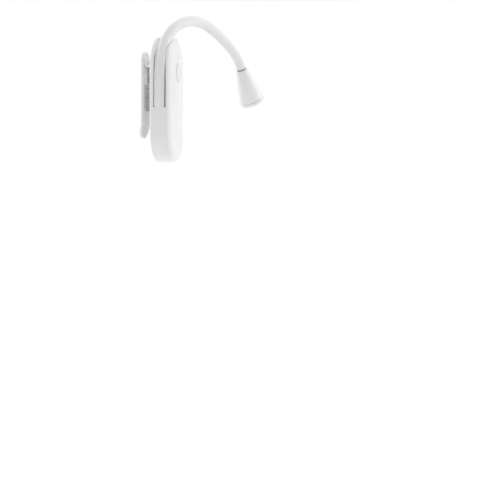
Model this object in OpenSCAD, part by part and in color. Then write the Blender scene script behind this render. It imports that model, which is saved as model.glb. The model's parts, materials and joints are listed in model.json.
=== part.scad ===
// Clip on reading lamp: a flat body with a sprung clip, a bendable neck and a small bell-shaped head.
// Frame: +Z up, +X out of the front cover, +Y along the body's width.
// Origin: centre of the rubber pad on the back, on its gripping face. Millimetres.

/* [Body] */
// Width of the body across its flat face
body_w = 33; // [32:0.5:36]
// Height of the body from the bottom of the lower round end to the top
body_h = 66.5; // [65:0.5:70]
// Thickness of the rear plate
plate_t = 2; // [1.8:0.1:2.4]
// Depth of the middle layer that holds the neck channel
channel_t = 6.8; // [6.6:0.1:7.4]
// Thickness of the front cover at its rim
rim_t = 1.9; // [1.8:0.1:2.6]
// How far the front cover rises in the middle
dome_h = 1; // [0.6:0.1:1.6]
// Rounding of the outer edge of the front cover
front_round = 1.5; // [0.8:0.1:1.7]
// Rounding of the outer edge of the rear plate
rear_round = 1.3; // [0.6:0.1:1.5]

/* [Neck] */
// Diameter of the soft neck
neck_d = 5.6; // [5.2:0.1:5.7]
// Direction the neck leans to, from the width toward the front
lean_azimuth = 29.7; // [25:0.1:31]

/* [Head] */
// Outer radius of the head where it meets the neck
head_r_top = 3.2; // [3.1:0.1:3.6]
// Outer radius of the head at its mouth
head_r_mouth = 7.2; // [7.0:0.1:7.8]
// Length of the head
head_len = 22; // [22:0.5:24]

/* [Clip] */
// Width of the clip lever
lever_w = 13; // [12.6:0.2:14]
// Thickness of the clip lever
lever_t = 1.65; // [1.4:0.05:2]
// Space between the rear plate and the lever
lever_gap = 5.6; // [5.4:0.1:6.2]
// Height of the thumb tab above the pin
tab_h = 6.5; // [5:0.5:8]
// Length of the jaw below the pin
jaw_len = 39.5; // [36:0.5:44]

/* [Button] */
// Diameter of the push button
button_d = 10; // [8:0.1:10]

/* [Hidden] */
$fn = 96;

// levels through the thickness, from the back to the front
pad_proud = 0.4;
rear_x = pad_proud;
inner_x = rear_x + plate_t;
split_x = inner_x + channel_t;
rim_x = split_x + rim_t;
face_x = rim_x + dome_h;

// depth of the small flat at the top of the cover's dome
dome_flat = 0.02;

// heights on the body
seam_z = -4;
top_z = 34;
body_r = body_w / 2;
bottom_z = top_z - body_h;
cap_top = top_z - body_r;
cap_bottom = bottom_z + body_r;
big = 100;

// walls inside the body
block_in_r = body_r - 1.5;
core_r = body_r - 6.9;
core_in_r = core_r - 1.2;
roof_t = 1.5;
floor_x = split_x + 1;
core_floor_x = split_x + 1.6;

// battery bay
cell_z = -19;
cell_r = 10;
cell_t = 3.2;
bay_r = cell_r + 0.2;
bay_wall_r = bay_r + 1;
cell_x0 = inner_x + 0.5;
door_r = 11.2;
door_t = 1.2;
ear_y = 12;
ear_r = 2.4;

// screws that hold the two shells together
screw_z = [23.5, -4.6];
screw_seat_x = inner_x + 0.2;
boss_meet_x = inner_x + 2.8;

// circuit board and button
board_x = inner_x + 3.2;
board_t = 1;
board_top_x = board_x + board_t;
button_z = 15.4;
button_x0 = core_floor_x - 0.8;
flange_t = 0.7;

// clip
pin_x = -2.9;
pin_z = 20;
pin_r = 1;
knuckle_r = 2.2;
lug_y0 = 4.05;
lug_y1 = 6.05;
bracket_z0 = 16.6;
bracket_z1 = 25.9;
bracket_t = 0.8;
lever_in_x = rear_x - lever_gap;
lever_out_x = lever_in_x - lever_t;
pad_w = 11;
pad_h = 14;
jaw_pad_x = lever_in_x + 0.5;
wire_r = 0.3;
coil_r = 1.6;

// neck: where the root stands, how long each link is and how far each one leans from upright
neck_r = neck_d / 2;
neck_x = inner_x + neck_r + 0.05;
neck_y = -(body_r - 2.4);
root_len = 17;
link_len = [8, 6.5, 4.5, 8.6, 8.6, 8.6, 8.6, 8.6, 8.6, 8.6, 8.6];
link_lean = [6, 19.3, 19.3, 41.4, 59.6, 75.5, 93.1, 107.8, 115.2, 119.9, 129.4];
tip_lean = 149.6;
tip_len = 6;
ball_gap = 0.05;
cup_cut = 1.25;
notch_gap = 0.35;
ferrule_r = 1.8;
ferrule_in_r = 1.2;
spigot_r = 1.5;
spigot_len = 2;

// head, measured from the seam with the neck
collar_t = 0.8;
shell_end = head_len - 2.3;
lens_s = 16.6;
led_board_s = 10.8;

lean_axis = [-cos(lean_azimuth), sin(lean_azimuth), 0];

function lean_dir(a) = [sin(a) * sin(lean_azimuth), sin(a) * cos(lean_azimuth), cos(a)];
function joint_at(i) = i == 0
    ? [neck_x, neck_y, seam_z + root_len]
    : joint_at(i - 1) + link_len[i - 1] * lean_dir(link_lean[i - 1]);
function head_r(s) = head_r_top + (head_r_mouth - head_r_top) * pow(s / (head_len - 2.5), 0.94);

// ---- shared helpers ----

// moves a piece to a joint of the neck and leans it
module at_joint(i, lean) {
    translate(joint_at(i)) rotate(a = lean, v = lean_axis) children();
}

// moves a piece to the end of the neck, with +Z out of the mouth of the head
module at_head() {
    at_joint(11, tip_lean) translate([0, 0, tip_len]) children();
}

module pill_2d(r) {
    translate([0, cap_top]) circle(r);
    translate([0, cap_bottom]) circle(r);
    translate([-r, cap_bottom]) square([2 * r, cap_top - cap_bottom]);
}

// flat layer with the body's outline, from x0 to x1
module pill(r, x0, x1) {
    translate([x0, 0, 0]) rotate([90, 0, 90]) linear_extrude(x1 - x0) pill_2d(r);
}

module below(z) {
    translate([-big, -big, z - 2 * big]) cube([2 * big, 2 * big, 2 * big]);
}

module above(z) {
    translate([-big, -big, z]) cube([2 * big, 2 * big, 2 * big]);
}

// sweeps a half profile (radius, x) around the body's outline
module sweep_pill() {
    translate([0, 0, cap_top]) rotate([0, 90, 0]) rotate_extrude() children();
    translate([0, 0, cap_bottom]) rotate([0, 90, 0]) rotate_extrude() children();
    translate([0, 0, cap_bottom]) linear_extrude(cap_top - cap_bottom) rotate(-90) children();
    translate([0, 0, cap_bottom]) linear_extrude(cap_top - cap_bottom) mirror([0, 1]) rotate(-90)
        children();
}

// cylinder along +X at a place on the face
module rod_x(y, z, r, x0, x1) {
    translate([x0, y, z]) rotate([0, 90, 0]) cylinder(r = r, h = x1 - x0);
}

// cylinder along +Y around the clip pin
module rod_y(r, y0, y1) {
    translate([pin_x, y0, pin_z]) rotate([-90, 0, 0]) cylinder(r = r, h = y1 - y0);
}

// flat-backed block with rounded corners, from x0 to x1
module soft_block(w, z0, z1, r, x0, x1) {
    translate([x0, 0, 0]) rotate([90, 0, 90]) linear_extrude(x1 - x0) soft_rect(w, z0, z1, r);
}

module soft_rect(w, z0, z1, r) {
    translate([-w / 2 + r, z0]) square([w - 2 * r, z1 - z0]);
    translate([-w / 2, z0 + r]) square([w, z1 - z0 - 2 * r]);
    for (side = [-1, 1]) {
        translate([side * (w / 2 - r), z0 + r]) circle(r);
        translate([side * (w / 2 - r), z1 - r]) circle(r);
    }
}

// wire along a path, each run reaching a little past its corners
module wire(path, r) {
    last = len(path) - 2;
    for (i = [0 : last]) {
        d = path[i + 1] - path[i];
        run = norm(d);
        back = i > 0 ? r / 2 : 0;
        ahead = i < last ? r / 2 : 0;
        translate(path[i]) rotate([0, acos(d[2] / run), atan2(d[1], d[0])])
            translate([0, 0, -back]) cylinder(r = r, h = run + back + ahead);
    }
}

function unit(v) = v / norm(v);
function heading(path, i) = unit(unit(path[i + 1] - path[i]) + unit(path[i] - path[i - 1]));

// one insulated lead: an eight-sided tube swept along its points
module soft_lead(path) {
    sides = 8;
    rings = len(path);
    points = [for (i = [0 : rings - 1])
        let (t = i == 0 ? unit(path[1] - path[0])
                 : i == rings - 1 ? unit(path[i] - path[i - 1]) : heading(path, i),
             u = unit(cross(t, [1, 0, 0])),
             v = cross(t, u))
        for (k = [0 : sides - 1])
            path[i] + 0.4 * (cos(k * 360 / sides) * u + sin(k * 360 / sides) * v)];
    walls = [for (i = [0 : rings - 2]) for (k = [0 : sides - 1])
        let (n = (k + 1) % sides, a = i * sides, b = a + sides)
        each [[a + k, a + n, b + n], [a + k, b + n, b + k]]];
    caps = [[for (k = [0 : sides - 1]) sides - 1 - k],
            [for (k = [0 : sides - 1]) (rings - 1) * sides + k]];
    polyhedron(points = points, faces = concat(walls, caps), convexity = 6);
}

// ---- body ----

module rear_profile() {
    intersection() {
        union() {
            square([body_r - rear_round, plate_t]);
            translate([0, rear_round]) square([body_r, plate_t]);
            translate([body_r - rear_round, rear_round]) circle(rear_round);
        }
        square([body_r, plate_t]);
    }
}

module front_profile() {
    dome_r = (body_r * body_r + dome_h * dome_h) / (2 * dome_h);
    intersection() {
        union() {
            square([body_r - front_round, rim_t + dome_h]);
            square([body_r, rim_t - front_round]);
            translate([body_r - front_round, rim_t - front_round]) circle(front_round);
            translate([body_r - 2 * front_round, 0]) square([front_round, rim_t]);
        }
        translate([0, rim_t + dome_h - dome_r]) circle(dome_r, $fn = 360);
        square([body_r, rim_t + dome_h - dome_flat]);
    }
}

module layer_ring(r_out, r_in) {
    difference() {
        pill(r_out, inner_x - 0.2, split_x);
        pill(r_in, inner_x - 1, split_x + 1);
    }
}

module socket_boss() {
    translate([neck_x, neck_y, seam_z - 7.6]) cylinder(r = ferrule_r + 0.8, h = 7.6);
}

module lug(y0) {
    intersection() {
        translate([pin_x - knuckle_r, y0, pin_z - 4]) cube([rear_x - pin_x + knuckle_r + 0.3, 2, 8]);
        union() {
            translate([pin_x, y0, pin_z]) rotate([-90, 0, 0]) cylinder(r = knuckle_r, h = 2);
            translate([pin_x, y0, pin_z - knuckle_r]) cube([10, 2, 2 * knuckle_r]);
        }
    }
}

// base of the hinge bracket, grown by a gap and reaching out of the plate by a height
module bracket_base(gap, proud) {
    soft_block(2 * (lug_y1 + gap), bracket_z0 - gap, bracket_z1 + gap, 1.5 + gap,
               rear_x - proud, rear_x + bracket_t);
}

module door_outline(gap) {
    circle_r = door_r + gap;
    translate([0, cell_z]) circle(circle_r);
    translate([ear_y, cell_z]) circle(ear_r + gap);
}

module rear_shell() {
    color([0.95, 0.95, 0.94]) difference() {
        union() {
            translate([rear_x, 0, 0]) sweep_pill() rear_profile();
            intersection() {
                layer_ring(body_r, block_in_r);
                below(seam_z);
            }
            intersection() {
                layer_ring(block_in_r + 0.2, core_in_r);
                translate([-big, -big, seam_z - roof_t]) cube([2 * big, 2 * big, roof_t]);
            }
            intersection() {
                layer_ring(core_r, core_in_r);
                above(seam_z - roof_t);
            }
            rod_x(0, cell_z, bay_wall_r, inner_x - 0.2, split_x);
            rod_x(ear_y, cell_z, 2, inner_x - 0.2, split_x - 0.4);
            for (z = screw_z) rod_x(0, z, 2.8, inner_x - 0.2, boss_meet_x);
            for (side = [-1, 1]) {
                rod_x(side * 6, 1.2, 1, inner_x - 0.2, board_x);
                rod_x(side * 5.4, 18.4, 1, inner_x - 0.2, board_x);
            }
            intersection() {
                socket_boss();
                pill(body_r, inner_x - 0.2, split_x);
            }
        }
        rod_x(0, cell_z, bay_r, rear_x - 1, split_x + 1);
        translate([rear_x - 1, 0, 0]) rotate([90, 0, 90]) linear_extrude(1 + door_t) door_outline(0.15);
        rod_x(ear_y, cell_z, 0.82, 0, inner_x + 5.6);
        for (z = screw_z) {
            rod_x(0, z, 1.9, rear_x - 1, screw_seat_x);
            rod_x(0, z, 0.9, 0, split_x);
        }
        soft_block(pad_w + 0.1, -pad_h / 2 - 0.05, pad_h / 2 + 0.05, 2.05, rear_x - 1, rear_x + 0.6);
        translate([neck_x, neck_y, seam_z - 7]) cylinder(r = ferrule_r + 0.02, h = 8);
        translate([neck_x, neck_y, seam_z - 9]) cylinder(r = ferrule_in_r, h = 8);
        bracket_base(0.05, 1);
        translate([inner_x, -6.8, -11]) cube([big, 2.6, 3]);
    }
}

module lip_ring() {
    intersection() {
        difference() {
            pill(block_in_r - 0.1, split_x - 0.8, split_x + 0.6);
            pill(block_in_r - 1, split_x - 2, split_x + 2);
        }
        below(seam_z - roof_t - 0.3);
    }
}

// notch in the front cover's rim where the neck leaves the body and bends
module neck_clearance() {
    for (i = [1 : 3]) {
        at_joint(i, link_lean[i]) cylinder(r = neck_r + notch_gap, h = link_len[i]);
        translate(joint_at(i + 1)) sphere(neck_r + notch_gap);
    }
}

module front_shell() {
    color([0.96, 0.96, 0.95]) difference() {
        union() {
            difference() {
                translate([split_x, 0, 0]) sweep_pill() front_profile();
                intersection() {
                    pill(body_r - 2.6, split_x - 1, floor_x);
                    below(seam_z - roof_t);
                }
                pill(core_in_r, split_x - 1, core_floor_x);
            }
            lip_ring();
            for (z = screw_z) rod_x(0, z, 2, boss_meet_x + 0.05, core_floor_x + 0.3);
        }
        for (z = screw_z) rod_x(0, z, 0.82, 0, split_x + 0.6);
        rod_x(0, button_z, button_d / 2 + 0.1, split_x, big);
        rod_x(ear_y, cell_z, 2.2, inner_x, split_x);
        neck_clearance();
    }
}

module small_screw(y, z, x_seat, len, head_r) {
    difference() {
        union() {
            rod_x(y, z, head_r, x_seat - 1, x_seat);
            rod_x(y, z, 0.8, x_seat - 0.1, x_seat + len);
        }
        for (turn = [0, 90]) {
            translate([x_seat - 0.5, y, z]) rotate([turn, 0, 0]) translate([-1, -0.2, -head_r * 0.6])
                cube([1, 0.4, head_r * 1.2]);
        }
    }
}

module shell_screws() {
    color([0.72, 0.72, 0.74]) for (z = screw_z) small_screw(0, z, screw_seat_x, 6.4, 1.8);
}

module body_pad() {
    color([0.86, 0.86, 0.85]) soft_block(pad_w, -pad_h / 2, pad_h / 2, 2, 0, rear_x + 0.6);
}

// ---- battery ----

module battery_door() {
    color([0.95, 0.95, 0.94]) difference() {
        union() {
            translate([rear_x, 0, 0]) rotate([90, 0, 90]) linear_extrude(door_t) door_outline(0);
            rod_x(0, cell_z, bay_r - 0.3, rear_x + 0.5, rear_x + door_t + 0.3);
        }
        rod_x(ear_y, cell_z, 1.5, rear_x - 1, rear_x + 0.5);
        rod_x(ear_y, cell_z, 0.9, 0, big);
        for (i = [-2 : 2]) translate([rear_x - 0.7, -4, cell_z - 7 + i * 1.1]) cube([1, 8, 0.5]);
    }
}

module door_screw() {
    color([0.72, 0.72, 0.74]) difference() {
        union() {
            rod_x(ear_y, cell_z, 1.4, rear_x + 0.1, rear_x + 0.5);
            rod_x(ear_y, cell_z, 0.8, rear_x + 0.4, inner_x + 5.2);
        }
        for (turn = [0, 90]) {
            translate([rear_x + 0.3, ear_y, cell_z]) rotate([turn, 0, 0]) translate([-1, -0.15, -0.8])
                cube([1, 0.3, 1.6]);
        }
    }
}

module door_contact() {
    x0 = rear_x + door_t + 0.3;
    color([0.8, 0.78, 0.7]) {
        translate([x0, -8, cell_z - 2.5]) cube([0.3, 16, 5]);
        rod_x(0, cell_z, 2, x0 + 0.2, cell_x0);
    }
}

module coin_cells() {
    color([0.78, 0.78, 0.79]) for (i = [0, 1]) {
        x0 = cell_x0 + i * (cell_t + 0.02);
        rod_x(0, cell_z, cell_r, x0, x0 + cell_t - 0.5);
        rod_x(0, cell_z, cell_r - 1.2, x0 + cell_t - 0.6, x0 + cell_t);
    }
}

module contact_foot(y0, z0) {
    translate([board_top_x, y0, z0]) cube([0.3, 2, 0.8 - z0]);
}

module front_contact() {
    x1 = cell_x0 + 2 * cell_t + 0.02;
    color([0.8, 0.78, 0.7]) {
        translate([x1, 3.5, cell_z - 4]) cube([0.3, 2, -1.6 - cell_z + 4]);
        translate([board_top_x, 3.5, -1.9]) cube([x1 - board_top_x + 0.3, 2, 0.3]);
        contact_foot(3.5, -1.9);
    }
}

module side_contact() {
    color([0.8, 0.78, 0.7]) {
        translate([cell_x0 + 0.3, -6.5, -10]) cube([4, 2, 0.3]);
        translate([board_top_x, -6.5, -10]) cube([0.3, 2, 9]);
        contact_foot(-6.5, -2);
    }
}

// ---- circuit and button ----

module circuit_board() {
    color([0.16, 0.42, 0.26]) translate([board_x, -7.5, -1.2]) cube([board_t, 15, 21.8]);
}

module tact_switch() {
    color([0.15, 0.15, 0.16]) difference() {
        translate([board_top_x, -3, button_z - 3]) cube([2.2, 6, 6]);
        rod_x(0, button_z, 1.65, board_top_x + 1.1, big);
    }
}

module switch_plunger() {
    color([0.85, 0.85, 0.83]) rod_x(0, button_z, 1.6, board_top_x + 1.6, button_x0);
}

module driver_chip() {
    color([0.12, 0.12, 0.13]) {
        translate([board_top_x + 0.1, -2, 4]) cube([1.3, 4, 4.4]);
        for (side = [-1, 1]) for (i = [0 : 3]) {
            translate([board_top_x, side * 2.5 - 0.6, 4.4 + i * 1.1]) cube([0.3, 1.2, 0.4]);
        }
    }
}

module chip_resistors() {
    color([0.2, 0.2, 0.22]) for (y = [-5.6, 4.4]) {
        translate([board_top_x, y, 11]) cube([0.6, 1.2, 2.2]);
    }
}

module lead_wires() {
    color([0.75, 0.12, 0.1]) for (i = [0, 1]) {
        end_x = neck_x + 0.45 - 0.9 * i;
        side = 1.1 * i;
        soft_lead([[board_top_x + 0.5, -7 + 1.3 * i, 1.8 + 1.2 * i],
                   [8.2 - 0.6 * i, -7 + 0.8 * i, -1 + 1.2 * i],
                   [8.5 - side, -7, -3],
                   [8.5 - side, -7.2, -5.4],
                   [8.5 - side, -8, -7.2],
                   [8.5 - side, -9.3, -8.3],
                   [8.5 - side, -10.2, -9.8],
                   [8.2 - side, -10.5, -12],
                   [7.3 - side, -11.4, -13.5],
                   [6.2 - side, -12.9, -13.9],
                   [end_x, -14, -13.2],
                   [end_x, neck_y, -11],
                   [end_x, neck_y, -5]]);
    }
}

module power_button() {
    cap_x1 = face_x + 0.35;
    color([0.9, 0.9, 0.89]) {
        rod_x(0, button_z, button_d / 2 + 0.7, button_x0, button_x0 + flange_t);
        translate([button_x0, 0, button_z]) rotate([0, 90, 0]) rotate_extrude() {
            square([button_d / 2, cap_x1 - button_x0 - 0.5]);
            square([button_d / 2 - 0.5, cap_x1 - button_x0]);
            translate([button_d / 2 - 0.5, cap_x1 - button_x0 - 0.5]) circle(0.5);
        }
    }
}

// ---- clip ----

// recessed plate with the two lugs that hold the clip pin
module hinge_bracket() {
    color([0.94, 0.94, 0.93]) difference() {
        union() {
            bracket_base(0, 0);
            lug(lug_y0);
            lug(-lug_y1);
        }
        rod_y(pin_r + 0.02, -8, 8);
        rod_x(0, screw_z[0], 1.9, rear_x - 1, screw_seat_x);
    }
}

module lever_side() {
    bend_z = pin_z - jaw_len + 7;
    low_z = pin_z - jaw_len;
    flare = 1.6;
    polygon([[lever_in_x, pin_z + tab_h], [lever_out_x, pin_z + tab_h], [lever_out_x, bend_z],
             [lever_out_x - flare, low_z], [lever_in_x - flare, low_z], [lever_in_x, bend_z]]);
}

module lever_plate() {
    intersection() {
        translate([0, lever_w, 0]) rotate([90, 0, 0]) linear_extrude(2 * lever_w) lever_side();
        translate([-20, 0, 0]) rotate([90, 0, 90]) linear_extrude(40)
            soft_rect(lever_w, pin_z - jaw_len, pin_z + tab_h, 5.5);
    }
}

module clip_lever() {
    color([0.93, 0.93, 0.92]) difference() {
        union() {
            lever_plate();
            for (side = [-1, 1]) {
                y0 = side > 0 ? 2.5 : -3.9;
                rod_y(knuckle_r, y0, y0 + 1.4);
                translate([lever_in_x - 0.2, y0, pin_z - knuckle_r])
                    cube([pin_x - lever_in_x + 0.2, 1.4, 2 * knuckle_r]);
            }
            for (y = [-5, 4.2]) translate([lever_in_x - 0.2, y, 9]) cube([0.9, 0.8, 6]);
        }
        rod_y(pin_r + 0.05, -8, 8);
        soft_block(pad_w - 0.9, -5.05, 9.05, 2.05, lever_in_x - 0.3, 0);
        for (i = [0 : 3]) {
            translate([lever_out_x - 0.5, -4, pin_z + tab_h - 5 + i * 1.1]) cube([0.75, 8, 0.5]);
        }
    }
}

module jaw_pad() {
    color([0.86, 0.86, 0.85]) difference() {
        soft_block(pad_w - 1, -5, 9, 2, lever_in_x - 0.3, jaw_pad_x);
        for (i = [0 : 4]) translate([jaw_pad_x - 0.25, -big, -3 + i * 2.4]) cube([1, 2 * big, 0.7]);
    }
}

module hinge_pin() {
    color([0.75, 0.75, 0.77]) rod_y(pin_r, -lug_y1, lug_y1);
}

// turns of spring wire around the clip pin, starting at y0
module turns(y0, count) {
    pitch = 2.2 * wire_r;
    rod_len = (count - 1) * pitch;
    difference() {
        rod_y(coil_r + wire_r / 2, y0 + wire_r, y0 + wire_r + rod_len);
        rod_y(coil_r - wire_r / 2, y0, y0 + 2 * wire_r + rod_len);
    }
    for (i = [0 : count - 1]) {
        translate([pin_x, y0 + wire_r + i * pitch, pin_z]) rotate([-90, 0, 0])
            rotate_extrude() translate([coil_r, 0]) circle(wire_r);
    }
}

module clip_spring() {
    leg_x = rear_x - 0.35;
    color([0.7, 0.7, 0.72]) {
        turns(-2.3, 5);
        wire([[pin_x + coil_r, -2, pin_z], [leg_x, -2, pin_z - 5], [leg_x, -2, pin_z - 11]], wire_r);
    }
}

module clip_spring_arm() {
    arm_x = lever_in_x + 0.35;
    color([0.7, 0.7, 0.72]) {
        turns(1.06, 2);
        wire([[pin_x - coil_r, 2.02, pin_z], [arm_x, 2.02, pin_z - 3], [arm_x, 2.02, pin_z - 10]],
             wire_r);
    }
}

// ---- neck ----

module soft_colour() {
    color([0.94, 0.94, 0.93]) children();
}

module tube(r_out, r_in, h) {
    difference() {
        cylinder(r = r_out, h = h);
        translate([0, 0, -1]) cylinder(r = r_in, h = h + 2);
    }
}

// one link: a cup at its lower joint and a ball at its upper joint
module link_body(len) {
    difference() {
        union() {
            translate([0, 0, cup_cut]) cylinder(r = neck_r, h = len - cup_cut);
            translate([0, 0, len]) sphere(neck_r);
        }
        sphere(neck_r + ball_gap);
    }
}

module ball_link(i) {
    soft_colour() at_joint(i, link_lean[i]) link_body(link_len[i]);
}

module root_ferrule() {
    color([0.7, 0.7, 0.72]) translate([neck_x, neck_y, seam_z - 7])
        tube(ferrule_r, ferrule_in_r, 11);
}

module neck_root() {
    soft_colour() difference() {
        union() {
            translate([neck_x, neck_y, seam_z]) cylinder(r = neck_r, h = root_len);
            translate(joint_at(0)) sphere(neck_r);
        }
        translate([neck_x, neck_y, seam_z - 1]) cylinder(r = ferrule_r + 0.02, h = 5.05);
    }
}

module neck_link_01() {
    ball_link(0);
}

// the head half of the neck can turn on this link's spigot
module neck_link_02() {
    soft_colour() at_joint(1, link_lean[1]) {
        difference() {
            translate([0, 0, cup_cut]) cylinder(r = neck_r, h = link_len[1] - cup_cut - 0.04);
            sphere(neck_r + ball_gap);
        }
        translate([0, 0, link_len[1] - 1]) cylinder(r = spigot_r, h = spigot_len + 1);
    }
}

module neck_link_03() {
    soft_colour() at_joint(2, link_lean[2]) difference() {
        union() {
            cylinder(r = neck_r, h = link_len[2]);
            translate([0, 0, link_len[2]]) sphere(neck_r);
        }
        translate([0, 0, -1]) cylinder(r = spigot_r + 0.05, h = spigot_len + 1.06);
    }
}

module neck_link_04() {
    ball_link(3);
}

module neck_link_05() {
    ball_link(4);
}

module neck_link_06() {
    ball_link(5);
}

module neck_link_07() {
    ball_link(6);
}

module neck_link_08() {
    ball_link(7);
}

module neck_link_09() {
    ball_link(8);
}

module neck_link_10() {
    ball_link(9);
}

module neck_link_11() {
    ball_link(10);
}

module neck_tip() {
    soft_colour() at_joint(11, tip_lean) difference() {
        translate([0, 0, cup_cut]) cylinder(r = neck_r, h = tip_len - cup_cut);
        sphere(neck_r + ball_gap);
        translate([0, 0, tip_len - 3]) cylinder(r = ferrule_r + 0.02, h = 4);
    }
}

// ---- head ----

module tip_ferrule() {
    color([0.7, 0.7, 0.72]) at_head() translate([0, 0, -3]) tube(ferrule_r, ferrule_in_r, 9);
}

module head_collar() {
    color([0.62, 0.62, 0.62]) at_head() tube(head_r_top - 0.5, ferrule_r + 0.02, collar_t);
}

module head_outer(steps) {
    s0 = collar_t + 0.4;
    polygon(concat([[0, collar_t], [head_r(s0) - 0.4, collar_t]],
                   [for (i = [0 : steps]) let (s = s0 + (shell_end - s0) * i / steps) [head_r(s), s]],
                   [[0, shell_end]]));
}

module head_shell() {
    color([0.95, 0.95, 0.94]) at_head() difference() {
        rotate_extrude() head_outer(6);
        translate([0, 0, -1]) cylinder(r = ferrule_r + 0.02, h = 8);
        translate([0, 0, 5]) cylinder(r1 = head_r(5) - 1, r2 = head_r(led_board_s) - 1,
                                      h = led_board_s - 5);
        translate([0, 0, led_board_s]) cylinder(r = head_r(led_board_s) - 0.8, h = 1.2);
        translate([0, 0, led_board_s + 1.15]) cylinder(r1 = head_r(12) - 0.9, r2 = head_r(lens_s) - 1,
                                                       h = lens_s - led_board_s - 1.15);
        translate([0, 0, lens_s - 0.01]) cylinder(r = head_r(lens_s) - 0.75, h = 10);
    }
}

module led_board() {
    color([0.85, 0.85, 0.84]) at_head() translate([0, 0, led_board_s])
        cylinder(r = head_r(led_board_s) - 0.85, h = 1);
}

module led_chip() {
    color([1, 0.93, 0.7]) at_head() {
        translate([-1.4, -1.4, led_board_s + 1]) cube([2.8, 2.8, 0.6]);
        translate([0, 0, led_board_s + 1.6]) cylinder(r1 = 1.1, r2 = 0.7, h = 0.4);
    }
}

module reflector() {
    s0 = led_board_s + 1.2;
    h = lens_s - s0 - 0.02;
    color([0.86, 0.86, 0.86]) at_head() translate([0, 0, s0]) difference() {
        cylinder(r1 = 2.8, r2 = head_r(lens_s) - 1.1, h = h);
        translate([0, 0, -0.01]) cylinder(r1 = 2.1, r2 = head_r(lens_s) - 1.7, h = h + 0.02);
    }
}

module head_lens() {
    color([0.98, 0.97, 0.9]) at_head() translate([0, 0, lens_s])
        cylinder(r = head_r(lens_s) - 0.8, h = 1);
}

module head_bezel() {
    r_end = head_r(shell_end);
    lip_r = 1.05;
    s1 = head_len - lip_r;
    color([0.93, 0.93, 0.92]) at_head() difference() {
        union() {
            translate([0, 0, lens_s + 1]) cylinder(r = head_r(lens_s) - 0.8, h = shell_end - lens_s);
            rotate_extrude() {
                translate([0, shell_end + 0.1]) square([r_end + 0.05, s1 - shell_end - 0.1]);
                translate([0, shell_end + 0.1])
                    square([r_end + 0.05 - lip_r, head_len - shell_end - 0.1]);
                translate([r_end + 0.05 - lip_r, s1]) circle(lip_r);
            }
        }
        translate([0, 0, lens_s]) cylinder(r = head_r(lens_s) - 1.6, h = 4);
        translate([0, 0, lens_s + 3.9]) cylinder(r1 = head_r(lens_s) - 1.6, r2 = r_end - 1, h = 1.6);
    }
}

module head_wires() {
    color([0.75, 0.12, 0.1]) at_head() for (side = [-1, 1]) {
        translate([side * 0.6, 0, -2]) cylinder(r = 0.4, h = led_board_s + 2);
    }
}

rear_shell();
front_shell();
shell_screws();
body_pad();
battery_door();
door_screw();
door_contact();
coin_cells();
front_contact();
side_contact();
circuit_board();
tact_switch();
driver_chip();
chip_resistors();
lead_wires();
power_button();
switch_plunger();
hinge_bracket();
clip_lever();
jaw_pad();
hinge_pin();
clip_spring();
clip_spring_arm();
root_ferrule();
neck_root();
neck_link_01();
neck_link_02();
neck_link_03();
neck_link_04();
neck_link_05();
neck_link_06();
neck_link_07();
neck_link_08();
neck_link_09();
neck_link_10();
neck_link_11();
neck_tip();
tip_ferrule();
head_collar();
head_shell();
led_board();
led_chip();
reflector();
head_lens();
head_bezel();
head_wires();
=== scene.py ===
"""Looks of a small clip on reading lamp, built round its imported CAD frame. Metres, +Z up."""
import json
import math

import bmesh
import bpy
from mathutils import Matrix, Vector


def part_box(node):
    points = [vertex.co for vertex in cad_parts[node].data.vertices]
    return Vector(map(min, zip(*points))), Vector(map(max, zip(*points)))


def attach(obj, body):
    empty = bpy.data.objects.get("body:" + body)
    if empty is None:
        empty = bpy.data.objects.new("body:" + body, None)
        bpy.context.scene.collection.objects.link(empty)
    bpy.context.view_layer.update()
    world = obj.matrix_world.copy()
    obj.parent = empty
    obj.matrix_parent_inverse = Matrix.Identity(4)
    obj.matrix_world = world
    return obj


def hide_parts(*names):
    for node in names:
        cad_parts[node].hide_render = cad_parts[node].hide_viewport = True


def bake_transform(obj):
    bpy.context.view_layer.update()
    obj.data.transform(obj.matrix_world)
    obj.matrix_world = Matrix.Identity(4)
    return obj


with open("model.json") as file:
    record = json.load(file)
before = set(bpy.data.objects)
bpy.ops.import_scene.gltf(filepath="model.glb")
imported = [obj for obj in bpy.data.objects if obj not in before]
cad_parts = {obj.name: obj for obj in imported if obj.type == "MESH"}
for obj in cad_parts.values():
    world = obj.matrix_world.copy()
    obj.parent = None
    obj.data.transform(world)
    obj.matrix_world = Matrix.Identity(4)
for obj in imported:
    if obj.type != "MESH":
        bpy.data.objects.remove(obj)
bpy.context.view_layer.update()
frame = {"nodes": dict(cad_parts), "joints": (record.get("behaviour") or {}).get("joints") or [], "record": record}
MM = 0.001
joints = {j["name"]: j for j in frame["joints"]}
slots = {p["node"]: p["material_slot"] for p in frame["record"]["subparts"]}


def centre(node):
    low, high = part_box(node)
    return (low + high) / 2


# ---------------------------------------------------------------- materials

# Reach of the painted light that makes hollows lighter
PAINTED_LIGHT_REACH = 7 * MM
# Reach and tint of the painted shade that darkens tight corners
CORNER_SHADE_REACH = 0.5 * MM
CORNER_SHADE_TINT = (0.62, 0.61, 0.58)
METAL_EDGE = 0.00008
RUBBER_EDGE = 0.00015


def new_material(name, **sockets):
    """A Principled material whose even values sit on the shader's own sockets."""
    material = bpy.data.materials.new(name)
    material.use_nodes = True
    shader = material.node_tree.nodes["Principled BSDF"]
    for socket, value in sockets.items():
        socket = socket.replace("_", " ")
        old = shader.inputs[socket].default_value
        if hasattr(old, "__len__") and len(old) == 4:
            value = (*value, 1.0)
        shader.inputs[socket].default_value = value
    return material, shader


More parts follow.
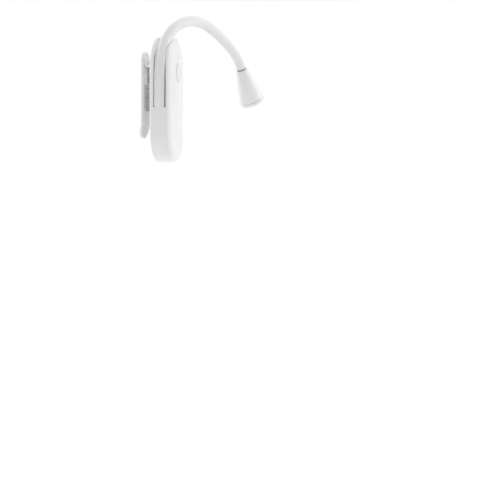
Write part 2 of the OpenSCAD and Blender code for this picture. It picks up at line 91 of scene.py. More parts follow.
class Painter:
    """Short calls for the procedural nodes of one material."""

    def __init__(self, material, shader):
        self.nodes = material.node_tree.nodes
        self.links = material.node_tree.links
        self.shader = shader
        self.coord = self.nodes.new("ShaderNodeTexCoord").outputs["Object"]

    def node(self, kind, **values):
        made = self.nodes.new(kind)
        for key, value in values.items():
            setattr(made, key, value)
        return made

    def stretched(self, scale, turn=(0, 0, 0)):
        mapping = self.node("ShaderNodeMapping")
        mapping.inputs["Scale"].default_value = scale
        mapping.inputs["Rotation"].default_value = turn
        self.links.new(self.coord, mapping.inputs["Vector"])
        return mapping.outputs["Vector"]

    def noise(self, scale, detail, rough=0.5, vector=None, distort=0.0):
        made = self.node("ShaderNodeTexNoise")
        made.inputs["Scale"].default_value = scale
        made.inputs["Detail"].default_value = detail
        made.inputs["Roughness"].default_value = rough
        made.inputs["Distortion"].default_value = distort
        self.links.new(vector or self.coord, made.inputs["Vector"])
        return made.outputs["Fac"]

    def voronoi(self, scale):
        made = self.node("ShaderNodeTexVoronoi", feature="F1")
        made.inputs["Scale"].default_value = scale
        self.links.new(self.coord, made.inputs["Vector"])
        return made.outputs["Distance"]

    def steps(self, value, low, high, out_low=0.0, out_high=1.0):
        made = self.node("ShaderNodeMapRange", interpolation_type="SMOOTHSTEP")
        made.inputs["From Min"].default_value = low
        made.inputs["From Max"].default_value = high
        made.inputs["To Min"].default_value = out_low
        made.inputs["To Max"].default_value = out_high
        self.links.new(value, made.inputs["Value"])
        return made.outputs["Result"]

    def math(self, kind, a, b):
        made = self.node("ShaderNodeMath", operation=kind)
        for slot, value in zip(made.inputs, (a, b)):
            if isinstance(value, (int, float)):
                slot.default_value = value
            else:
                self.links.new(value, slot)
        return made.outputs["Value"]

    def mix(self, fac, a, b):
        made = self.node("ShaderNodeMix", data_type="RGBA")
        for slot, value in zip((made.inputs["Factor"], made.inputs[6], made.inputs[7]), (fac, a, b)):
            if isinstance(value, tuple):
                slot.default_value = (*value, 1.0)
            else:
                self.links.new(value, slot)
        return made.outputs[2]

    def bump(self, height, distance, strength, normal=None):
        made = self.node("ShaderNodeBump")
        made.inputs["Distance"].default_value = distance
        made.inputs["Strength"].default_value = strength
        self.links.new(height, made.inputs["Height"])
        if normal is not None:
            self.links.new(normal, made.inputs["Normal"])
        return made.outputs["Normal"]

    def soft_edges(self, radius):
        made = self.node("ShaderNodeBevel", samples=6)
        made.inputs["Radius"].default_value = radius
        return made.outputs["Normal"]

    def crevices(self, distance):
        made = self.node("ShaderNodeAmbientOcclusion", samples=8)
        made.inputs["Distance"].default_value = distance
        return made.outputs["AO"]

    def painted_hollow_light(self, tint, light):
        """Painted light: fades a tint to a lighter one inside hollows, where little light comes in."""
        return self.mix(self.steps(self.crevices(PAINTED_LIGHT_REACH), 0.3, 0.85, 1.0, 0.0), tint, light)

    def wire(self, value, socket):
        self.links.new(value, self.shader.inputs[socket])


def moulded_plastic(name, colour, shade, rough, edge, deep=None):
    """Moulded plastic: flow marks, fine grain, hairline scratches, painted shade in corners, painted light in
    hollows.
    """
    material, shader = new_material(
        name, IOR=1.5, Coat_Weight=0.12, Coat_Roughness=0.12)
    p = Painter(material, shader)
    cloud = p.noise(55, 3, 0.55)
    flow = p.noise(1, 4, 0.6, p.stretched((90, 260, 35)), 0.4)
    grain = p.noise(5200, 2, 0.6)
    scratch = p.steps(p.noise(1, 2, 0.5, p.stretched((2600, 9000, 260), (0.5, 0.3, 0.9))), 0.66, 0.72)
    specks = p.steps(p.voronoi(420), 0.05, 0.09, 1.0, 0.0)
    tint = p.mix(p.steps(cloud, 0.35, 0.7), colour, shade)
    tint = p.mix(p.math("MULTIPLY", p.steps(flow, 0.4, 0.75), 0.25), tint, tuple(c * 0.97 for c in colour))
    tint = p.mix(p.math("MULTIPLY", specks, 0.25), tint, tuple(c * 0.8 for c in colour))
    # painted light: the tint fades to a lighter one inside hollows
    tint = p.painted_hollow_light(tint, deep or colour)
    # painted shade: the tint darkens in tight corners
    corner = p.steps(p.crevices(CORNER_SHADE_REACH), 0.2, 0.8, 0.4, 0.0)
    painted_corner_shade = tuple(c * f for c, f in zip(colour, CORNER_SHADE_TINT))
    p.wire(p.mix(corner, tint, painted_corner_shade), "Base Color")
    matt = p.steps(cloud, 0.3, 0.75, rough - 0.05, rough + 0.06)
    matt = p.math("ADD", matt, p.math("MULTIPLY", grain, 0.06))
    p.wire(p.math("ADD", matt, p.math("MULTIPLY", scratch, 0.12)), "Roughness")
    height = p.math("SUBTRACT", p.math("ADD", p.math("MULTIPLY", grain, 0.5), p.math("MULTIPLY", flow, 0.8)),
                    p.math("MULTIPLY", scratch, 0.35))
    p.wire(p.bump(height, 0.00003, 0.6, p.soft_edges(edge)), "Normal")
    return material


def silicone(name, colour, shade, rough, grain_scale, deep=None):
    """Soft rubber: matt grain, a few specks of lint, slow colour drift, painted light in hollows."""
    material, shader = new_material(
        name, IOR=1.42, Sheen_Weight=0.12, Sheen_Roughness=0.45, Sheen_Tint=(1, 1, 1))
    p = Painter(material, shader)
    cloud = p.noise(75, 3, 0.55)
    grain = p.noise(grain_scale, 3, 0.65)
    lint = p.steps(p.voronoi(520), 0.045, 0.085, 1.0, 0.0)
    tint = p.mix(p.steps(cloud, 0.35, 0.7), colour, shade)
    tint = p.mix(p.math("MULTIPLY", lint, 0.3), tint, tuple(c * 0.72 for c in colour))
    # painted light: the tint fades to a lighter one inside hollows
    p.wire(p.painted_hollow_light(tint, deep or colour), "Base Color")
    matt = p.steps(cloud, 0.3, 0.7, rough - 0.05, rough + 0.06)
    p.wire(p.math("ADD", matt, p.math("MULTIPLY", grain, 0.08)), "Roughness")
    height = p.math("ADD", grain, p.math("MULTIPLY", lint, 0.6))
    p.wire(p.bump(height, 0.00004, 0.7, p.soft_edges(RUBBER_EDGE)), "Normal")
    return material


def metal(name, colour, dull, rough, stretch):
    """Metal with fine drawing marks along one direction and dull patches."""
    material, shader = new_material(name, Metallic=1.0)
    p = Painter(material, shader)
    marks = p.noise(1, 3, 0.6, p.stretched(stretch))
    patch = p.steps(p.noise(420, 4, 0.6), 0.45, 0.7)
    p.wire(p.mix(p.math("MULTIPLY", patch, 0.7), colour, dull), "Base Color")
    spread = p.math("ADD", p.math("MULTIPLY", marks, 0.22), p.math("MULTIPLY", patch, 0.12))
    p.wire(p.math("ADD", spread, rough - 0.14), "Roughness")
    p.wire(p.bump(marks, 0.00002, 0.5, p.soft_edges(METAL_EDGE)), "Normal")
    return material


def circuit_green(name):
    """Green solder mask with raised tracks in a paler green."""
    material, shader = new_material(name, IOR=1.5, Coat_Weight=0.4, Coat_Roughness=0.15)
    p = Painter(material, shader)
    tracks = p.node("ShaderNodeTexBrick", offset=0.5)
    tracks.inputs["Scale"].default_value = 340
    tracks.inputs["Mortar Size"].default_value = 0.06
    p.links.new(p.stretched((1, 1, 1), (0, math.pi / 2, 0)), tracks.inputs["Vector"])
    line = tracks.outputs["Fac"]
    cloud = p.noise(300, 3, 0.6)
    p.wire(p.mix(p.math("MULTIPLY", line, 0.7), (0.035, 0.19, 0.075), (0.075, 0.33, 0.12)), "Base Color")
    p.wire(p.steps(cloud, 0.3, 0.7, 0.3, 0.42), "Roughness")
    p.wire(p.bump(p.math("ADD", line, p.math("MULTIPLY", cloud, 0.3)), 0.00003, 0.8), "Normal")
    return material


def glowing(name, colour, warm, strength, rough):
    """Lit part: an even warm glow, frosted grain, and slow drift between two tones."""
    material, shader = new_material(
        name, IOR=1.5, Emission_Color=(1.0, 0.93, 0.78), Emission_Strength=strength)
    p = Painter(material, shader)
    grain = p.noise(3000, 3, 0.6)
    cloud = p.noise(260, 2, 0.5)
    p.wire(p.mix(p.steps(cloud, 0.35, 0.7), colour, warm), "Base Color")
    p.wire(p.math("ADD", p.math("MULTIPLY", grain, 0.12), rough), "Roughness")
    p.wire(p.bump(grain, 0.00004, 0.6), "Normal")
    return material


WHITE = (0.65, 0.65, 0.645)
# painted light: the lighter tint that hollows fade to
PAINTED_LIGHT_TINT = (0.95, 0.95, 0.945)
MATERIALS = {
    "shell": moulded_plastic("shell_white", WHITE, (0.63, 0.63, 0.625), 0.32, 0.00022, PAINTED_LIGHT_TINT),
    "button": moulded_plastic("button_white", (0.62, 0.62, 0.615), (0.6, 0.6, 0.595), 0.38, 0.0002),
    "neck": silicone("neck_silicone", (0.64, 0.64, 0.635), (0.62, 0.62, 0.615), 0.46, 5200, PAINTED_LIGHT_TINT),
    "pad": silicone("pad_rubber", (0.60, 0.60, 0.59), (0.56, 0.56, 0.55), 0.62, 2600),
    "steel": metal("steel", (0.58, 0.58, 0.60), (0.42, 0.42, 0.43), 0.3, (900, 9000, 900)),
    "contact": metal("contact_plating", (0.72, 0.66, 0.5), (0.55, 0.49, 0.36), 0.28, (4000, 900, 900)),
    "cell": metal("cell_steel", (0.66, 0.66, 0.67), (0.5, 0.5, 0.51), 0.25, (500, 6000, 600)),
    "board": circuit_green("board_green"),
    "black": moulded_plastic("black_plastic", (0.03, 0.03, 0.032), (0.04, 0.04, 0.04), 0.5, 0.0001),
    "wire": moulded_plastic("wire_red", (0.5, 0.03, 0.025), (0.42, 0.025, 0.02), 0.42, 0.0001),
    "collar": moulded_plastic("collar_grey", (0.26, 0.26, 0.26), (0.23, 0.23, 0.23), 0.5, 0.0001),
    "plate": metal("plate_aluminium", (0.8, 0.8, 0.8), (0.68, 0.68, 0.68), 0.3, (3000, 3000, 300)),
    "led": glowing("led_phosphor", (0.95, 0.82, 0.4), (0.98, 0.88, 0.5), 12.0, 0.4),
    "reflector": moulded_plastic("reflector_white", (0.85, 0.85, 0.84), (0.82, 0.82, 0.81), 0.22, 0.0001),
    "lens": glowing("lens_frosted", (0.93, 0.92, 0.88), (0.95, 0.93, 0.87), 3.0, 0.35),
}
for name, obj in frame["nodes"].items():
    obj.data.materials.clear()
    obj.data.materials.append(MATERIALS[slots[name]])


# ---------------------------------------------------------------- mesh helpers

def place(name, mesh, slot, body=None, nodes=()):
    """Adds a mesh as a piece with its slot's material, riding on a body."""
    obj = bpy.data.objects.new(name, mesh)
    bpy.context.scene.collection.objects.link(obj)
    obj.data.materials.append(MATERIALS[slot])
    if body:
        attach(obj, body)
    if nodes:
        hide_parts(*nodes)
    return obj


SHARP = math.radians(50)
LATHE_SIDES = 96


def finish_mesh(bm, name):
    """Closes up a bmesh with smooth shading, split where the surface turns sharply."""
    bmesh.ops.recalc_face_normals(bm, faces=bm.faces)
    for face in bm.faces:
        face.smooth = True
    for edge in bm.edges:
        if len(edge.link_faces) == 2 and edge.calc_face_angle(0) > SHARP:
            edge.smooth = False
    mesh = bpy.data.meshes.new(name)
    bm.to_mesh(mesh)
    bm.free()
    return mesh


def tube_mesh(name, rings, closed=False):
    """A skin over rings of points, capped at both ends unless the rings close on themselves."""
    bm = bmesh.new()
    made = [[bm.verts.new(p) for p in ring] for ring in rings]
    count = len(made[0])
    pairs = list(zip(made, made[1:])) + ([(made[-1], made[0])] if closed else [])
    for low, high in pairs:
        for i in range(count):
            j = (i + 1) % count
            bm.faces.new((low[i], low[j], high[j], high[i]))
    if not closed:
        bm.faces.new(made[0][::-1])
        bm.faces.new(made[-1])
    return finish_mesh(bm, name)


def ring_at(point, along, side, radius, count=48):
    """Points of a circle round a path; side lies in the circle's plane."""
    u = side.normalized()
    v = along.normalized().cross(u)
    return [point + radius * (math.cos(a) * u + math.sin(a) * v)
            for a in (2 * math.pi * i / count for i in range(count))]


def rounded(corners, steps):
    """A closed profile of (r, s, rounding) corners with each corner turned into an arc."""
    out = []
    for i, (r, s, size) in enumerate(corners):
        here = Vector((r, s))
        before = Vector(corners[i - 1][:2])
        after = Vector(corners[(i + 1) % len(corners)][:2])
        if size <= 0:
            out.append(here)
            continue
        a, b = (before - here).normalized(), (after - here).normalized()
        half = a.angle(b) / 2
        reach = size / math.tan(half)
        middle = here + (a + b).normalized() * (size / math.sin(half))
        start, end = here + a * reach - middle, here + b * reach - middle
        turn = start.angle_signed(end)
        for k in range(steps + 1):
            angle = -turn * k / steps
            out.append(middle + Matrix.Rotation(angle, 2) @ start)
    return out


def lathe_mesh(name, profile, origin, axis, side):
    """Turns a profile of (radius, height) points, in millimetres, round an axis, closing it at poles."""
    bm = bmesh.new()
    u = side.normalized()
    w = axis.normalized()
    v = w.cross(u)
    rows = []
    for r, s in profile:
        if r < 1e-6:
            rows.append([bm.verts.new(origin + w * s * MM)])
            continue
        rows.append([bm.verts.new(origin + w * s * MM + r * MM * (math.cos(a) * u + math.sin(a) * v))
                     for a in (2 * math.pi * i / LATHE_SIDES for i in range(LATHE_SIDES))])
    for low, high in zip(rows, rows[1:] + rows[:1]):
        if len(low) == 1 and len(high) == 1:
            continue
        for i in range(LATHE_SIDES):
            j = (i + 1) % LATHE_SIDES
            if len(low) == 1:
                bm.faces.new((low[0], high[j], high[i]))
            elif len(high) == 1:
                bm.faces.new((low[i], low[j], high[0]))
            else:
                bm.faces.new((low[i], low[j], high[j], high[i]))
    return finish_mesh(bm, name)


# ---------------------------------------------------------------- neck

NECK_JOINTS = ["neck_bend_01", "neck_bend_02", "neck_turn"]
NECK_JOINTS += [f"neck_bend_{i:02d}" for i in range(3, 12)]
NECK_R = 2.795 * MM
BEND_STEPS = 20
END_WIDE, NEAR_END_WIDE = 0.93, 0.98
# lengths along the neck and the head, in millimetres
LENS_FROM_SEAM, ROOT_BELOW, TIP_PAST = 17.1, 4, 3
stops = [Vector(joints[n]["pos_m"]) for n in NECK_JOINTS]
side = Vector(joints["neck_bend_01"]["axis"]).normalized()
lens_centre = centre("head_lens")
head_axis = (lens_centre - stops[-1]).normalized()
head_seam = lens_centre - head_axis * LENS_FROM_SEAM * MM
root_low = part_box("neck_root")[0].z
mids = [stops[0] - Vector((0, 0, ROOT_BELOW * MM))]
mids += [(a + b) / 2 for a, b in zip(stops, stops[1:])]
mids.append(stops[-1] + head_axis * TIP_PAST * MM)


def bend_points(start, corner, end, count):
    """Points and headings of a smooth bend that leaves start and reaches end along the two links."""
    for i in range(count + 1):
        t = i / count
        point = start * (1 - t) ** 2 + corner * 2 * t * (1 - t) + end * t * t
        along = (corner - start) * (1 - t) + (end - corner) * t
        yield point, along


def sleeve(name, points):
    rings = [ring_at(p, along, side, NECK_R * wide) for p, along, wide in points]
    return tube_mesh(name, rings)


up = Vector((0, 0, 1))
foot = Vector((stops[0].x, stops[0].y, root_low))
root_points = [(foot, up, END_WIDE), (foot + up * 0.12 * MM, up, NEAR_END_WIDE),
               (foot + up * 0.35 * MM, up, 1.0)]
root_points += [(foot.lerp(mids[0], t), up, 1.0) for t in (0.25, 0.5, 0.75, 1.0)]
place("neck_sleeve_root", sleeve("neck_sleeve_root", root_points), "neck", "body", ["neck_root"])
for i, joint in enumerate(NECK_JOINTS):
    points = [(p, along, 1.0) for p, along in bend_points(mids[i], stops[i], mids[i + 1], BEND_STEPS)]
    name = f"neck_sleeve_{i + 1:02d}"
    piece = place(name, sleeve(name, points), "neck")
    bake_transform(piece)
    stands_for = ["neck_tip"] if joint == NECK_JOINTS[-1] else [f"neck_link_{i + 1:02d}"]
    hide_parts(*stands_for)
tip_points = [(mids[-1].lerp(head_seam, t), head_axis, wide)
              for t, wide in ((0, 1), (0.5, 1), (0.88, 1), (0.96, NEAR_END_WIDE), (1, END_WIDE))]
place("neck_sleeve_tip", sleeve("neck_sleeve_tip", tip_points), "neck", "head", ["neck_tip"])


# ---------------------------------------------------------------- head

SEAM_R, WIDENS, BELL_END, BELL_CURVE = 3.2, 4.0, 19.5, 0.94


def head_r(s):
    """Outer radius of the bell at a distance from the seam, in millimetres."""
    return SEAM_R + WIDENS * (s / BELL_END) ** BELL_CURVE


def head_piece(name, profile, slot, nodes):
    return place(name, lathe_mesh(name, profile, head_seam, head_axis, side), slot, "head", nodes)


# profiles of (radius, distance from the seam with the neck) in millimetres
SHELL_START, SHELL_END, SHELL_RINGS = 1.3, 19.7, 40
shell_run = SHELL_END - 0.4 - SHELL_START
outer = [(head_r(s), s)
         for s in (SHELL_START + shell_run * i / SHELL_RINGS for i in range(SHELL_RINGS + 1))]
top_edge = [(2.0, 0.8), (2.9, 0.8), (3.05, 0.84), (3.17, 0.93), (3.26, 1.08)]
end_r = head_r(BELL_END)
low_edge = [(end_r - 0.02, 19.55), (end_r - 0.12, 19.66), (end_r - 0.25, SHELL_END)]
inner = [(5.85, SHELL_END), (5.85, 16.6), (5.05, 12.1), (4.6, 10.6), (3.4, 5.2), (2.0, 5.0)]
head_piece("head_bell", top_edge + outer + low_edge + inner, "shell", ["head_shell"])
lip = rounded([(7.1, 19.8, 0.15), (7.25, 20.2, 0.3), (7.2, 22.0, 1.0), (5.75, 22.0, 0.45), (4.95, 17.7, 0.1),
               (5.72, 17.7, 0.1), (5.72, 19.8, 0)], 8)
head_piece("head_ring", [tuple(p) for p in lip], "shell", ["head_bezel"])
diffuser = [(0, 17.5), (2, 17.47), (4, 17.36), (5.3, 17.2), (5.7, 17.1), (5.7, 16.65), (0, 16.65)]
head_piece("head_diffuser", diffuser, "lens", ["head_lens"])
seam_ring = rounded([(1.85, 0.0, 0), (2.7, 0.0, 0.12), (2.7, 0.8, 0.05), (1.85, 0.8, 0)], 4)
head_piece("head_neck_ring", [tuple(p) for p in seam_ring], "collar", ["head_collar"])


# ---------------------------------------------------------------- push button

button_low, button_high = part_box("power_button")
flange_r = (button_high.y - button_low.y) / 2 / MM
FLANGE_W, FLANGE_T, CAP_ROUND = 0.7, 0.7, 0.5
cap_r = flange_r - FLANGE_W
cap_h = (button_high.x - button_low.x) / MM
cap_edge = [(cap_r - CAP_ROUND + CAP_ROUND * math.cos(a), cap_h - CAP_ROUND + CAP_ROUND * math.sin(a))
            for a in (math.pi / 2 * i / 8 for i in range(9))]
DISH = ((0.9, 0.01), (1.4, 0.05), (2.2, 0.13), (3.2, 0.19), (4.2, 0.215))
cap_dish = [(cap_r - back, cap_h - low) for back, low in DISH]
button_profile = [(0, 0), (flange_r - 0.1, 0), (flange_r, 0.1), (flange_r, 0.6),
                  (flange_r - 0.1, FLANGE_T), (cap_r + 0.08, FLANGE_T), (cap_r, 0.78)]
button_profile += cap_edge + cap_dish + [(0, cap_h - 0.22)]
button_middle = centre("power_button")
button_foot = Vector((button_low.x, button_middle.y, button_middle.z))
cap_mesh = lathe_mesh("button_cap", button_profile, button_foot, Vector((1, 0, 0)), Vector((0, 1, 0)))
place("button_cap", cap_mesh, "button", "button", ["power_button"])


# ---------------------------------------------------------------- clip lever and pads

def inside_by(y, z, half_w, z0, z1, r):
    """How far a point lies inside the outline of a rectangle with rounded corners."""
    qy = abs(y) - (half_w - r)
    qz = abs(z - (z0 + z1) / 2) - ((z1 - z0) / 2 - r)
    return r - math.hypot(max(qy, 0), max(qz, 0)) - min(max(qy, qz), 0)


def slab_mesh(name, half_w, z0, z1, r, back, front, edge, y_mid=0.0, more_rows=()):
    """A plate in millimetres whose faces in x are back(y, z) and front(y, z), with every edge rounded."""
    corner_rows, middle_rows, middle_columns, least_gap = 14, 44, 40, 0.012
    quarter = [1 - math.cos(math.pi / 2 * i / corner_rows) for i in range(corner_rows + 1)]
    edge_rows = [edge * k for k in (0.05, 0.2, 0.45, 0.8)]
    wanted = [z0 + r * q for q in quarter] + [z1 - r * q for q in quarter]
    wanted += [z0 + step for step in edge_rows] + [z1 - step for step in edge_rows]
    wanted += [z0 + r + (z1 - z0 - 2 * r) * i / middle_rows for i in range(1, middle_rows)]
    wanted += more_rows
    rows = []
    for z in sorted(wanted):
        if not rows or z - rows[-1] > least_gap:
            rows.append(z)
    rows[-1] = z1
    rim = (0.0, 0.006, 0.02, 0.045, 0.08, 0.13)
    middle = [-0.8 + 1.6 * i / middle_columns for i in range(middle_columns + 1)]
    spread = [-1 + t for t in rim] + middle + [1 - t for t in rim[::-1]]
    bm = bmesh.new()
    grids = [[], []]
    for z in rows:
        past = max(0.0, abs(z - (z0 + z1) / 2) - ((z1 - z0) / 2 - r))
        half = half_w - r + math.sqrt(max(0.0, r * r - past * past))
        lines = [[], []]
        for f in spread:
            y = half * f
            depth = min(max(inside_by(y, z, half_w, z0, z1, r), 0.0), edge)
            drop = edge - math.sqrt(edge * edge - (edge - depth) ** 2)
            lines[0].append(bm.verts.new(Vector((back(y, z) + drop, y + y_mid, z)) * MM))
            lines[1].append(bm.verts.new(Vector((front(y, z) - drop, y + y_mid, z)) * MM))
        grids[0].append(lines[0])
        grids[1].append(lines[1])
    for grid in grids:
        for low, high in zip(grid, grid[1:]):
            for i in range(len(spread) - 1):
                bm.faces.new((low[i], low[i + 1], high[i + 1], high[i]))
    a, b = grids
    for j in range(len(rows) - 1):
        for i in (0, -1):
            bm.faces.new((a[j][i], a[j + 1][i], b[j + 1][i], b[j][i]))
    for j in (0, -1):
        for i in range(len(spread) - 1):
            bm.faces.new((a[j][i], a[j][i + 1], b[j][i + 1], b[j][i]))
    return finish_mesh(bm, name)


def ease(value, low, high):
    t = min(max((value - low) / (high - low), 0.0), 1.0)
    return t * t * (3 - 2 * t)


def grooves(z, starts, wide, deep):
    """Depth at a height of a row of grooves with softened sides."""
    inside = [ease(z, at - 0.05, at + 0.1) * (1 - ease(z, at + wide - 0.1, at + wide + 0.05))
              for at in starts]
    return deep * max(inside)


def groove_rows(starts, wide):
    """Heights where a slab needs rows of points to show its grooves."""
    steps = (-0.05, 0, 0.05, 0.1, wide / 2, wide - 0.1, wide - 0.05, wide, wide + 0.05)
    return [at + step for at in starts for step in steps]


pin = Vector(joints["clip_hinge"]["pos_m"]) / MM
lever_low, lever_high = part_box("clip_lever")
LEVER_Z0, LEVER_Z1 = lever_low.z / MM, lever_high.z / MM
LEVER_IN, LEVER_T, LEVER_HALF_W, LEVER_END_R = -5.2, 1.65, 6.5, 5.5
FLARE, BEND_H = 1.6, 7.0
TAB_GROOVES = [LEVER_Z1 - 5 + i * 1.1 for i in range(4)]
TAB_GROOVE_W, JAW_GROOVE_W, GROOVE_DEEP = 0.5, 0.7, 0.25


def flare(z):
    """How far the foot of the lever leans away from the body, with a soft bend."""
    run = LEVER_Z0 + BEND_H - z
    if run <= -1:
        return 0.0
    return FLARE / BEND_H * (run if run >= 1 else (run + 1) ** 2 / 4)


def lever_back(y, z):
    across = 1 - ease(abs(y), 3.0, 3.6)
    return LEVER_IN - LEVER_T - flare(z) + across * grooves(z, TAB_GROOVES, TAB_GROOVE_W, GROOVE_DEEP)


def lever_front(y, z):
    return LEVER_IN - flare(z)


def rib_back(y, z):
    return LEVER_IN - 0.2


def rib_front(y, z):
    return LEVER_IN + 0.7


blade = slab_mesh("clip_blade", LEVER_HALF_W, LEVER_Z0, LEVER_Z1, LEVER_END_R, lever_back, lever_front, 0.4,
                  more_rows=groove_rows(TAB_GROOVES, TAB_GROOVE_W))
place("clip_blade", blade, "shell", "clip", ["clip_lever"])
RIB_HALF_W, RIB_Y, RIB_Z0, RIB_Z1 = 0.4, 4.6, 9.0, 15.0
for sign, name in ((-1, "clip_rib_left"), (1, "clip_rib_right")):
    rib = slab_mesh(name, RIB_HALF_W, RIB_Z0, RIB_Z1, 0.38, rib_back, rib_front, 0.15, y_mid=RIB_Y * sign)
    place(name, rib, "shell", "clip", ["clip_lever"])

KNUCKLE_R, KNUCKLE_BORE, KNUCKLE_W = 2.2, 1.05, 1.4


def knuckle_mesh(name, y0, y1):
    """A bored ear round the pin, flat towards the lever."""
    count, chamfer, flared = 72, 0.2, -0.12
    web = pin.x - (LEVER_IN - 0.1)
    loops = []
    sections = ((y0, chamfer, flared), (y0 + chamfer, 0.0, 0.0),
                (y1 - chamfer, 0.0, 0.0), (y1, chamfer, flared))
    for y, out_by, in_by in sections:
        outer_ring, inner_ring = [], []
        for i in range(count):
            a = 2 * math.pi * i / count
            run, rise = math.cos(a), math.sin(a)
            reach = KNUCKLE_R
            if run < 0:
                reach = min(KNUCKLE_R / max(abs(rise), 1e-6), web / max(-run, 1e-6))
            far, near = reach - out_by, KNUCKLE_BORE - in_by
            outer_ring.append(Vector((pin.x + far * run, y, pin.z + far * rise)) * MM)
            inner_ring.append(Vector((pin.x + near * run, y, pin.z + near * rise)) * MM)
        loops.append((outer_ring, inner_ring))
    rings = [outer for outer, _ in loops] + [inner for _, inner in loops[::-1]]
    return tube_mesh(name, rings, closed=True)


for name, y0 in (("clip_knuckle_left", -3.9), ("clip_knuckle_right", 2.5)):
    place(name, knuckle_mesh(name, y0, y0 + KNUCKLE_W), "shell", "clip", ["clip_lever"])

JAW_GROOVES = [-3 + i * 2.4 for i in range(5)]


def jaw_back(y, z):
    return LEVER_IN - 0.25


def jaw_front(y, z):
    return LEVER_IN + 0.5 - grooves(z, JAW_GROOVES, JAW_GROOVE_W, GROOVE_DEEP)


def pad_back(y, z):
    return 0.0


def pad_front(y, z):
    return 1.0


PAD_CORNER_R = 2.0
jaw = slab_mesh("jaw_grip", 5.0, -5.0, 9.0, PAD_CORNER_R, jaw_back, jaw_front, 0.2,
                more_rows=groove_rows(JAW_GROOVES, JAW_GROOVE_W))
place("jaw_grip", jaw, "pad", "clip", ["jaw_pad"])
back_pad = slab_mesh("back_grip", 5.5, -7.0, 7.0, PAD_CORNER_R, pad_back, pad_front, 0.22)
place("back_grip", back_pad, "pad", "body", ["body_pad"])


# ---------------------------------------------------------------- clip spring

COIL_R, WIRE_R, COIL_STEPS, WIRE_SIDES = 1.6, 0.3, 40, 14
LEG_X, LEG_Y = 0.05, -2
ARM_X, ARM_Y = -4.85, 2.02


def wire_mesh(name, path, radius):
    """A round wire along points in millimetres."""
    points = [Vector(p) * MM for p in path]
    turned = Vector((0, 1, 0))
    rings = []
    for i, point in enumerate(points):
        along = (points[min(i + 1, len(points) - 1)] - points[max(i - 1, 0)]).normalized()
        turned = (turned - along * turned.dot(along)).normalized()
        rings.append(ring_at(point, along, turned, radius * MM, WIRE_SIDES))
    return tube_mesh(name, rings)


def coil(start_turn, turns, y0, y1):
    """Points along turns of wire round the pin, in millimetres."""
    steps = round(turns * COIL_STEPS)
    return [(pin.x + COIL_R * math.cos(a), y0 + (y1 - y0) * i / steps, pin.z + COIL_R * math.sin(a))
            for i, a in ((i, 2 * math.pi * (start_turn + turns * i / steps)) for i in range(steps + 1))]


leg = [(LEG_X, LEG_Y, pin.z - down) for down in (11, 8, 5.4)] + [(-0.02, LEG_Y, pin.z - 4.6)]
spring = wire_mesh("spring_coil", leg + coil(0, 4, -2.0, 0.64), WIRE_R)
place("spring_coil", spring, "steel", "body", ["clip_spring"])
arm = [(-4.84, ARM_Y, pin.z - 2.8)] + [(ARM_X, ARM_Y, pin.z - down) for down in (3.4, 7, 10)]
spring_end = wire_mesh("spring_arm", coil(-0.5, 1, 1.36, ARM_Y) + arm, WIRE_R)
place("spring_arm", spring_end, "steel", "clip", ["clip_spring_arm"])


# ---------------------------------------------------------------- stage, light and camera

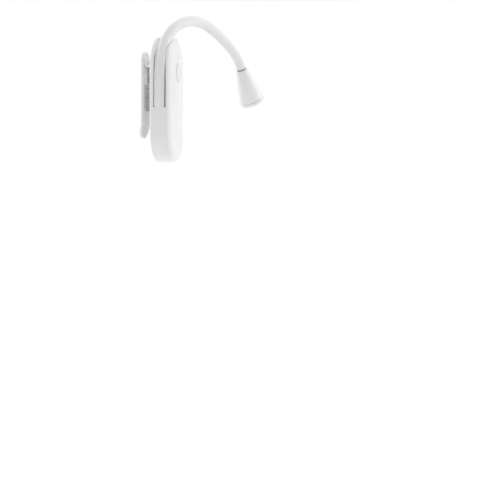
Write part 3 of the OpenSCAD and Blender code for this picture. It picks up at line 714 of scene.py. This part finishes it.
def stage_bowl():
    """A pale floor that curves up into a wall all the way round."""
    floor_z, flat, sweep, tall = -0.19, 1.4, 0.5, 0.6
    profile = [(0.0, floor_z), (flat * 0.5, floor_z), (flat, floor_z)]
    profile += [(flat + sweep * math.sin(a), floor_z + sweep * (1 - math.cos(a)))
                for a in (math.pi / 2 * i / 16 for i in range(1, 17))]
    profile.append((flat + sweep, floor_z + tall))
    bm = bmesh.new()
    rows = []
    for r, z in profile:
        if r == 0:
            rows.append([bm.verts.new((0, 0, z))])
        else:
            rows.append([bm.verts.new((r * math.cos(a), r * math.sin(a), z))
                         for a in (2 * math.pi * i / LATHE_SIDES for i in range(LATHE_SIDES))])
    for low, high in zip(rows, rows[1:]):
        for i in range(LATHE_SIDES):
            j = (i + 1) % LATHE_SIDES
            if len(low) == 1:
                bm.faces.new((low[0], high[i], high[j]))
            else:
                bm.faces.new((low[i], high[i], high[j], low[j]))
    for face in bm.faces:
        face.smooth = True
    mesh = bpy.data.meshes.new("studio_floor")
    bm.to_mesh(mesh)
    bm.free()
    material, shader = new_material("studio_paper", IOR=1.3)
    p = Painter(material, shader)
    p.wire(p.mix(p.noise(3, 3), (0.91, 0.91, 0.91), (0.93, 0.93, 0.93)), "Base Color")
    p.wire(p.steps(p.noise(20, 3), 0.2, 0.8, 0.85, 0.95), "Roughness")
    obj = bpy.data.objects.new("studio_floor", mesh)
    mesh.materials.append(material)
    bpy.context.scene.collection.objects.link(obj)


def soft_light(name, place_at, aim, size, power):
    data = bpy.data.lights.new(name, "AREA")
    data.shape = "RECTANGLE"
    data.size, data.size_y = size
    data.energy = power
    obj = bpy.data.objects.new(name, data)
    obj.location = place_at
    obj.rotation_euler = (Vector(aim) - Vector(place_at)).to_track_quat("-Z", "Y").to_euler()
    obj.visible_camera = False
    bpy.context.scene.collection.objects.link(obj)


stage_bowl()
LAMP = (0.02, 0.0, 0.0)
SURROUND = 0.94
soft_light("top_light", (0.1, 0.5, 1.3), LAMP, (1.2, 1.2), 5.0)
soft_light("left_light", (-1.0, 0.35, 0.4), LAMP, (0.8, 1.0), 5.0)
soft_light("right_light", (1.05, 0.4, 0.4), LAMP, (0.8, 1.0), 4.6)
world = bpy.data.worlds.new("studio_air")
world.use_nodes = True
world.node_tree.nodes["Background"].inputs["Color"].default_value = (1, 1, 1, 1)
world.node_tree.nodes["Background"].inputs["Strength"].default_value = SURROUND
bpy.context.scene.world = world
bpy.context.scene.view_settings.view_transform = "Standard"

CAMERA_AT = (0.12625, -0.4805, -0.039)
CAMERA_LENS = 65.3
turn, tilt, roll = math.radians(8.8), math.radians(4.7), math.radians(0.57)
forward = Vector((-math.sin(turn) * math.cos(tilt), math.cos(turn) * math.cos(tilt), -math.sin(tilt)))
right = forward.cross(up).normalized()
top = right.cross(forward)
right, top = right * math.cos(roll) + top * math.sin(roll), top * math.cos(roll) - right * math.sin(roll)
camera_data = bpy.data.cameras.new("camera")
camera_data.lens = CAMERA_LENS
camera_data.sensor_width = 36
camera_data.clip_start = 0.02
camera_data.clip_end = 20
camera = bpy.data.objects.new("camera", camera_data)
facing = Matrix((right, top, -forward)).transposed().to_4x4()
camera.matrix_world = Matrix.Translation(CAMERA_AT) @ facing
bpy.context.scene.collection.objects.link(camera)
bpy.context.scene.camera = camera
